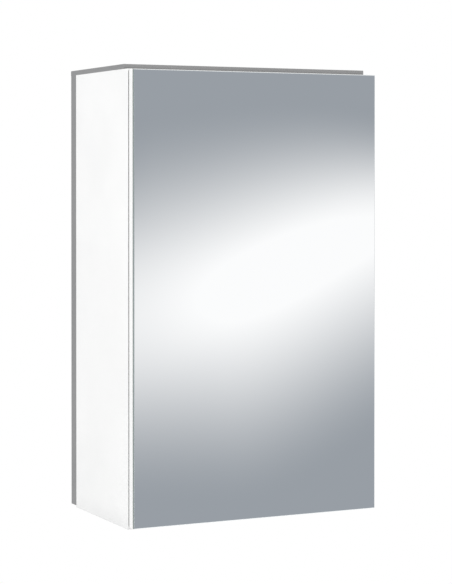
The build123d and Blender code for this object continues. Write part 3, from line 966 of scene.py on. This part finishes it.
def grow(name, group, places, settings):
    """Plain mesh object that a geometry node group makes on a set of places."""
    seeds = bpy.data.meshes.new(name + "_places")
    seeds.from_pydata([tuple(place) for place in places], [], [])
    carrier = bpy.data.objects.new(name + "_carrier", seeds)
    bpy.context.scene.collection.objects.link(carrier)
    modifier = carrier.modifiers.new(name, "NODES")
    modifier.node_group = group
    keys = {
        item.name: item.identifier
        for item in group.interface.items_tree
        if item.in_out == "INPUT"
    }
    for label, value in settings.items():
        modifier[keys[label]] = value
    graph = bpy.context.evaluated_depsgraph_get()
    mesh = bpy.data.meshes.new_from_object(carrier.evaluated_get(graph))
    if not mesh.polygons:
        raise RuntimeError(name + " came out empty")
    mesh.name = name
    piece = bpy.data.objects.new(name, mesh)
    bpy.context.scene.collection.objects.link(piece)
    bpy.data.objects.remove(carrier)
    bpy.data.meshes.remove(seeds)
    return piece


def make_screws(node, body, direction, finish, radius, pitch, rise=0.0, seed=3):
    """Threaded screws in place of a node of plain ones, and riding where they rode."""
    sizes = bpy.context.scene.cabinet_fasteners
    facing = Vector(direction)
    axis = max(range(3), key=lambda index: abs(facing[index]))
    across = (axis + 1) % 3
    places = []
    for low, high in separate_solids(node):
        place = (low + high) / 2
        outer = high[axis] if facing[axis] > 0 else low[axis]
        place[axis] = outer - facing[axis] * rise
        places.append(place)
        length = high[axis] - low[axis] - rise
        head = (high[across] - low[across]) / 2
    flat = rise > 0.0
    group = bpy.data.node_groups.get("threaded_screw") or screw_group()
    piece = grow(
        node + "_threaded",
        group,
        places,
        {
            "Length": length,
            "Thread Radius": radius,
            "Thread Share": sizes.thread_depth,
            "Pitch": pitch,
            "Head Radius": head,
            "Neck Radius": head if flat else radius,
            "Head Top": rise,
            "Head Base": 0.0 if flat else radius - head,
            "Drive Share": sizes.drive_width,
            "Direction": facing,
            "Seed": seed,
            "Finish": finish,
        },
    )
    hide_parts(node)
    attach(piece, body)
    return piece


# Operators


class CABINET_OT_finish_carcass(bpy.types.Operator):
    """Finish the side, top and bottom panels in white laminate"""

    bl_idname = "cabinet.finish_carcass"
    bl_label = "Finish Carcass"

    def execute(self, context):
        white = context.scene.cabinet_finishes.white_laminate
        # For each board: how strongly painted shade darkens its lower edge, and how dark
        # the painted shade in its gaps gets
        for node, low_edge_shade, dust_and_gap_shade in (
            ("side_panel_left", 0.12, 0.1),
            ("side_panel_right", 0.12, 0.1),
            ("top_panel", 0.0, 0.6),
            ("bottom_panel", 0.0, 0.3),
        ):
            finish = laminate("white_" + node, white, node, low_edge_shade=low_edge_shade, dust_and_gap_shade=dust_and_gap_shade)
            dress(finish, node)
        return {"FINISHED"}


class CABINET_OT_finish_back_and_cover(bpy.types.Operator):
    """Finish the back board and the top cover in laminate, whose grey is a painted drop
    shadow along the cabinet's left and top edges
    """

    bl_idname = "cabinet.finish_back_and_cover"
    bl_label = "Finish Back and Cover"

    def execute(self, context):
        grey = context.scene.cabinet_finishes.drop_shadow_grey
        # Painted shadow: these two boards are coloured grey to stand in for a drop shadow
        for node in ("back_board", "top_cover"):
            finish = laminate(
                "grey_" + node, grey, node, gloss=0.5, grain=0.03, dust_and_gap_shade=0.5
            )
            dress(finish, node)
        return {"FINISHED"}


class CABINET_OT_finish_door(bpy.types.Operator):
    """Finish the door board, its mounting tape and its soft pads"""

    bl_idname = "cabinet.finish_door"
    bl_label = "Finish Door"

    def execute(self, context):
        lacquer = context.scene.cabinet_finishes.door_lacquer
        dress(
            laminate(
                "door_lacquer", lacquer, "door_board", band=-0.002, gloss=0.3, dust_and_gap_shade=0.6
            ),
            "door_board",
        )
        dress(foam_tape("mounting_foam"), "mirror_tape")
        dress(soft_pad("soft_pad"), "door_bumpers")
        return {"FINISHED"}


class CABINET_OT_finish_mirror(bpy.types.Operator):
    """Silver the door's mirror and grind its edges"""

    bl_idname = "cabinet.finish_mirror"
    bl_label = "Finish Mirror"

    def execute(self, context):
        colours = context.scene.cabinet_finishes
        dress(
            silvered_glass(
                "silvered_glass", colours.silver, colours.glass_edge, "door_mirror"
            ),
            "door_mirror",
        )
        return {"FINISHED"}


class CABINET_OT_finish_shelves(bpy.types.Operator):
    """Finish the glass shelves and the pins that carry them"""

    bl_idname = "cabinet.finish_shelves"
    bl_label = "Finish Shelves"

    def execute(self, context):
        colours = context.scene.cabinet_finishes
        for node in ("shelf_upper", "shelf_lower"):
            dress(shelf_glass("clear_" + node, colours.glass_edge, node), node)
        dress(
            plated_steel("turned_pins", colours.nickel, (1.0, 8.0, 8.0), 0.22),
            "shelf_pins",
        )
        return {"FINISHED"}


class CABINET_OT_finish_hinges(bpy.types.Operator):
    """Finish the cups, pins, arms and plates of both hinges"""

    bl_idname = "cabinet.finish_hinges"
    bl_label = "Finish Hinges"

    def execute(self, context):
        nickel = context.scene.cabinet_finishes.nickel
        pressed = plated_steel("pressed_hinge_steel", nickel)
        drawn = plated_steel("drawn_pin_steel", nickel, (8.0, 8.0, 1.0), 0.18)
        for level in ("upper", "lower"):
            dress(
                pressed,
                level + "_hinge_cup",
                level + "_hinge_arm",
                level + "_hinge_plate",
            )
            dress(drawn, level + "_hinge_pin")
        return {"FINISHED"}


class CABINET_OT_make_board_screws(bpy.types.Operator):
    """Put threaded screws in the back board and under the top cover"""

    bl_idname = "cabinet.make_board_screws"
    bl_label = "Make Board Screws"

    def execute(self, context):
        sizes = context.scene.cabinet_fasteners
        finish = plated_steel(
            "plated_board_screw", context.scene.cabinet_finishes.nickel
        )
        for node, direction in (
            ("back_screws", (0, 1, 0)),
            ("cover_screws", (0, 0, -1)),
        ):
            make_screws(
                node, "cabinet", direction, finish, sizes.board_shank, sizes.board_pitch
            )
        return {"FINISHED"}


class CABINET_OT_make_fitting_screws(bpy.types.Operator):
    """Put threaded screws in the hinges, the catch and the strike plate"""

    bl_idname = "cabinet.make_fitting_screws"
    bl_label = "Make Fitting Screws"

    def execute(self, context):
        sizes = context.scene.cabinet_fasteners
        finish = plated_steel(
            "plated_fitting_screw", context.scene.cabinet_finishes.nickel
        )
        board = (sizes.board_shank, sizes.board_pitch)
        cup = (sizes.cup_shank, sizes.fine_pitch)
        strike = (sizes.strike_shank, sizes.fine_pitch)
        machine = (sizes.board_shank, sizes.machine_pitch)
        left, right, back = (-1, 0, 0), (1, 0, 0), (0, 1, 0)
        for node, body, direction, (radius, pitch), rise, seed in (
            ("plate_screws", "cabinet", left, board, 0.0, 4),
            ("catch_screws", "cabinet", right, board, 0.0, 6),
            ("cup_screws", "door", back, cup, CUP_HEAD, 7),
            ("strike_screw", "door", back, strike, 0.0, 8),
            ("upper_side_screw", "cabinet", left, machine, ADJUSTER_HEAD, 9),
            ("lower_side_screw", "cabinet", left, machine, ADJUSTER_HEAD, 10),
            ("upper_depth_screw", "cabinet", left, machine, ADJUSTER_HEAD, 11),
            ("lower_depth_screw", "cabinet", left, machine, ADJUSTER_HEAD, 12),
        ):
            make_screws(node, body, direction, finish, radius, pitch, rise, seed)
        return {"FINISHED"}


class CABINET_OT_make_dowels(bpy.types.Operator):
    """Put fluted beech dowels in the carcass corners"""

    bl_idname = "cabinet.make_dowels"
    bl_label = "Make Dowels"

    def execute(self, context):
        sizes = context.scene.cabinet_fasteners
        solids = separate_solids("dowels")
        low, high = solids[0]
        piece = grow(
            "dowels_fluted",
            dowel_group(),
            [(a + b) / 2 for a, b in solids],
            {
                "Length": high.x - low.x,
                "Radius": (high.z - low.z) / 2,
                "Flutes": sizes.flutes,
                "Flute Depth": sizes.flute_depth,
                "Chamfer": sizes.dowel_chamfer,
                "Direction": Vector((1.0, 0.0, 0.0)),
                "Seed": 5,
                "Finish": beech("bare_beech", context.scene.cabinet_finishes.beech),
            },
        )
        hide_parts("dowels")
        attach(piece, "cabinet")
        return {"FINISHED"}


class CABINET_OT_finish_cam_fittings(bpy.types.Operator):
    """Finish the cams and the bolts that they draw in"""

    bl_idname = "cabinet.finish_cam_fittings"
    bl_label = "Finish Cam Fittings"

    def execute(self, context):
        zinc = cast_zinc("cast_zinc", context.scene.cabinet_finishes.zinc)
        dress(zinc, "cam_housings", "cam_bolts")
        return {"FINISHED"}


class CABINET_OT_finish_catch(bpy.types.Operator):
    """Finish the magnetic catch and its strike plate"""

    bl_idname = "cabinet.finish_catch"
    bl_label = "Finish Catch"

    def execute(self, context):
        nickel = context.scene.cabinet_finishes.nickel
        dress(moulded_plastic("catch_moulding"), "catch_housing")
        dress(sintered_magnet("pressed_ferrite"), "catch_magnet")
        dress(
            plated_steel("strike_steel", nickel, (6.0, 6.0, 1.0), 0.3), "strike_plate"
        )
        return {"FINISHED"}


class CABINET_OT_set_camera(bpy.types.Operator):
    """Set the camera that looks at the cabinet from the left"""

    bl_idname = "cabinet.set_camera"
    bl_label = "Set Camera"

    def execute(self, context):
        studio = context.scene.cabinet_studio
        data = bpy.data.cameras.new("photo_camera")
        data.lens = studio.camera_lens
        data.sensor_width = SENSOR_WIDTH
        data.shift_y = studio.camera_shift
        data.clip_start = 0.05
        data.clip_end = 60.0
        camera = bpy.data.objects.new("photo_camera", data)
        context.scene.collection.objects.link(camera)
        camera.location = studio.camera_place
        camera.rotation_euler = (
            math.pi / 2 + studio.camera_pitch,
            0.0,
            -studio.camera_heading,
        )
        context.scene.camera = camera
        return {"FINISHED"}


def studio_floor(studio):
    """Round pale floor under the cabinet, with a softly rounded rim."""
    mesh = bmesh.new()
    bmesh.ops.create_circle(
        mesh, cap_ends=True, cap_tris=True, segments=96, radius=studio.floor_radius
    )
    bmesh.ops.translate(mesh, verts=mesh.verts, vec=(0.0, -0.1, -studio.floor_drop))
    data = bpy.data.meshes.new("studio_floor")
    mesh.to_mesh(data)
    mesh.free()
    floor = bpy.data.objects.new("studio_floor", data)
    bpy.context.scene.collection.objects.link(floor)

    material = bpy.data.materials.new("pale_floor")
    material.use_nodes = True
    tree = material.node_tree
    tree.nodes.clear()
    output = put(tree, "ShaderNodeOutputMaterial")
    place = put(tree, "ShaderNodeTexCoord").outputs["Object"]
    fine = speckle(tree, place, 0.004, 2.0)
    paint = put(tree, "ShaderNodeBsdfDiffuse")
    feed(
        tree,
        paint.inputs["Color"],
        mix_colours(tree, fine, (0.8, 0.8, 0.8), (0.83, 0.83, 0.83)),
    )
    lift = put(tree, "ShaderNodeEmission")
    lift.inputs["Strength"].default_value = 0.3
    path = put(tree, "ShaderNodeLightPath")
    seen = compute(
        tree, "MAXIMUM", path.outputs["Is Camera Ray"], path.outputs["Is Glossy Ray"]
    )
    seen = compute(tree, "MAXIMUM", seen, path.outputs["Is Transmission Ray"])
    plain = put(tree, "ShaderNodeAddShader")
    feed(tree, plain.inputs[0], paint.outputs[0])
    feed(tree, plain.inputs[1], lift.outputs[0])
    choice = put(tree, "ShaderNodeMixShader")
    feed(tree, choice.inputs[0], seen)
    feed(tree, choice.inputs[1], paint.outputs[0])
    feed(tree, choice.inputs[2], plain.outputs[0])
    feed(tree, output.inputs["Surface"], choice.outputs[0])
    data.materials.append(material)


def studio_lamp(name, place, target, width, height, power):
    """Large soft lamp aimed at a point, unseen in the mirror."""
    data = bpy.data.lights.new(name, "AREA")
    data.shape = "RECTANGLE"
    data.size = width
    data.size_y = height
    data.energy = power
    lamp = bpy.data.objects.new(name, data)
    bpy.context.scene.collection.objects.link(lamp)
    aim = Vector(target) - Vector(place)
    lamp.matrix_world = Matrix.Translation(place) @ aim.to_track_quat(
        "-Z", "Y"
    ).to_matrix().to_4x4()
    lamp.visible_camera = False
    lamp.visible_glossy = False
    lamp.visible_transmission = False


def studio_world(studio):
    """White to the camera, even light for matt surfaces, a white panel for mirrors."""
    world = bpy.data.worlds.new("studio")
    world.use_nodes = True
    tree = world.node_tree
    tree.nodes.clear()
    output = put(tree, "ShaderNodeOutputWorld")
    ray = put(tree, "ShaderNodeTexCoord").outputs["Generated"]
    across, _, up = split_axes(tree, ray)

    # Heights of the panel's edges, which rise to the right, and how far they blur
    top = ramp_over(tree, across, 0.29, 0.51, -0.0723, -0.0028)
    soft = ramp_over(tree, across, 0.4, 0.51, 0.072, 0.0365, smooth=False)
    bottom = ramp_over(tree, across, 0.43, 0.55, -0.1048, -0.0495)
    bottom_blur = 0.069
    gain = 1.29
    below_top = ramp_over(
        tree,
        up,
        compute(tree, "SUBTRACT", top, soft),
        compute(tree, "ADD", top, soft),
        1.0,
        0.0,
    )
    above_bottom = ramp_over(
        tree,
        up,
        compute(tree, "SUBTRACT", bottom, bottom_blur),
        compute(tree, "ADD", bottom, bottom_blur),
    )
    panel = compute(tree, "MULTIPLY", below_top, above_bottom)
    panel = compute(tree, "MULTIPLY", panel, gain, clamp=True)
    panel = compute(
        tree, "MULTIPLY", panel, ramp_over(tree, across, 0.6, 0.8, 1.0, 0.0)
    )
    ceiling = ramp_over(tree, up, 0.12, 0.6, 0.0, 0.75)
    ground = ramp_over(tree, up, -0.5, -0.25, 0.3, 0.0)
    bright = compute(
        tree, "MAXIMUM", panel, compute(tree, "MAXIMUM", ceiling, ground)
    )
    seen = mix_colours(tree, bright, studio.grey_card, studio.white_panel)

    def background(colour, strength):
        node = put(tree, "ShaderNodeBackground")
        feed(tree, node.inputs["Color"], colour)
        node.inputs["Strength"].default_value = strength
        return node.outputs[0]

    path = put(tree, "ShaderNodeLightPath")
    mirrored = put(tree, "ShaderNodeMixShader")
    feed(tree, mirrored.inputs[0], path.outputs["Is Glossy Ray"])
    feed(tree, mirrored.inputs[1], background((1.0, 1.0, 1.0), studio.room_light))
    feed(tree, mirrored.inputs[2], background(seen, 1.0))
    straight = put(tree, "ShaderNodeMixShader")
    feed(
        tree,
        straight.inputs[0],
        compute(
            tree,
            "MAXIMUM",
            path.outputs["Is Camera Ray"],
            path.outputs["Is Transmission Ray"],
        ),
    )
    feed(tree, straight.inputs[1], mirrored.outputs[0])
    feed(tree, straight.inputs[2], background((1.0, 1.0, 1.0), 1.0))
    feed(tree, output.inputs["Surface"], straight.outputs[0])
    bpy.context.scene.world = world


class CABINET_OT_build_studio(bpy.types.Operator):
    """Build the pale floor, the soft lamps and the surroundings"""

    bl_idname = "cabinet.build_studio"
    bl_label = "Build Studio"

    def execute(self, context):
        studio = context.scene.cabinet_studio
        studio_floor(studio)
        middle = (CAD_BOX[0] + CAD_BOX[1]) / 2
        studio_lamp(
            "key_lamp", (-2.3, -1.7, 1.5), middle, 1.8, 1.8, studio.key_power
        )
        studio_lamp(
            "fill_lamp", (1.9, -2.2, 0.9), middle, 1.6, 1.6, studio.fill_power
        )
        studio_world(studio)
        context.scene.view_settings.view_transform = "Standard"
        return {"FINISHED"}


class CABINET_PT_dressing(bpy.types.Panel):
    """Lists the cabinet's settings and steps"""

    bl_label = "Mirror Cabinet"
    bl_idname = "CABINET_PT_dressing"
    bl_space_type = "VIEW_3D"
    bl_region_type = "UI"
    bl_category = "Cabinet"

    def draw(self, context):
        layout = self.layout
        scene = context.scene
        for step in STEPS:
            layout.operator(step)
        for settings in (
            scene.cabinet_finishes,
            scene.cabinet_fasteners,
            scene.cabinet_studio,
        ):
            column = layout.column()
            for name in settings.__annotations__:
                column.prop(settings, name)


STEPS = (
    "cabinet.finish_carcass",
    "cabinet.finish_back_and_cover",
    "cabinet.finish_door",
    "cabinet.finish_mirror",
    "cabinet.finish_shelves",
    "cabinet.finish_hinges",
    "cabinet.make_board_screws",
    "cabinet.make_fitting_screws",
    "cabinet.make_dowels",
    "cabinet.finish_cam_fittings",
    "cabinet.finish_catch",
    "cabinet.set_camera",
    "cabinet.build_studio",
)

CLASSES = (
    CabinetFinishes,
    FastenerSizes,
    StudioSettings,
    CABINET_OT_finish_carcass,
    CABINET_OT_finish_back_and_cover,
    CABINET_OT_finish_door,
    CABINET_OT_finish_mirror,
    CABINET_OT_finish_shelves,
    CABINET_OT_finish_hinges,
    CABINET_OT_make_board_screws,
    CABINET_OT_make_fitting_screws,
    CABINET_OT_make_dowels,
    CABINET_OT_finish_cam_fittings,
    CABINET_OT_finish_catch,
    CABINET_OT_set_camera,
    CABINET_OT_build_studio,
    CABINET_PT_dressing,
)


def register():
    for cls in CLASSES:
        bpy.utils.register_class(cls)
    bpy.types.Scene.cabinet_finishes = PointerProperty(type=CabinetFinishes)
    bpy.types.Scene.cabinet_fasteners = PointerProperty(type=FastenerSizes)
    bpy.types.Scene.cabinet_studio = PointerProperty(type=StudioSettings)


def unregister():
    del bpy.types.Scene.cabinet_studio
    del bpy.types.Scene.cabinet_fasteners
    del bpy.types.Scene.cabinet_finishes
    for cls in reversed(CLASSES):
        bpy.utils.unregister_class(cls)


def main():
    """Run every step."""
    register()
    for step in STEPS:
        area, name = step.split(".")
        getattr(getattr(bpy.ops, area), name)()


if __name__ == "__main__":
    main()
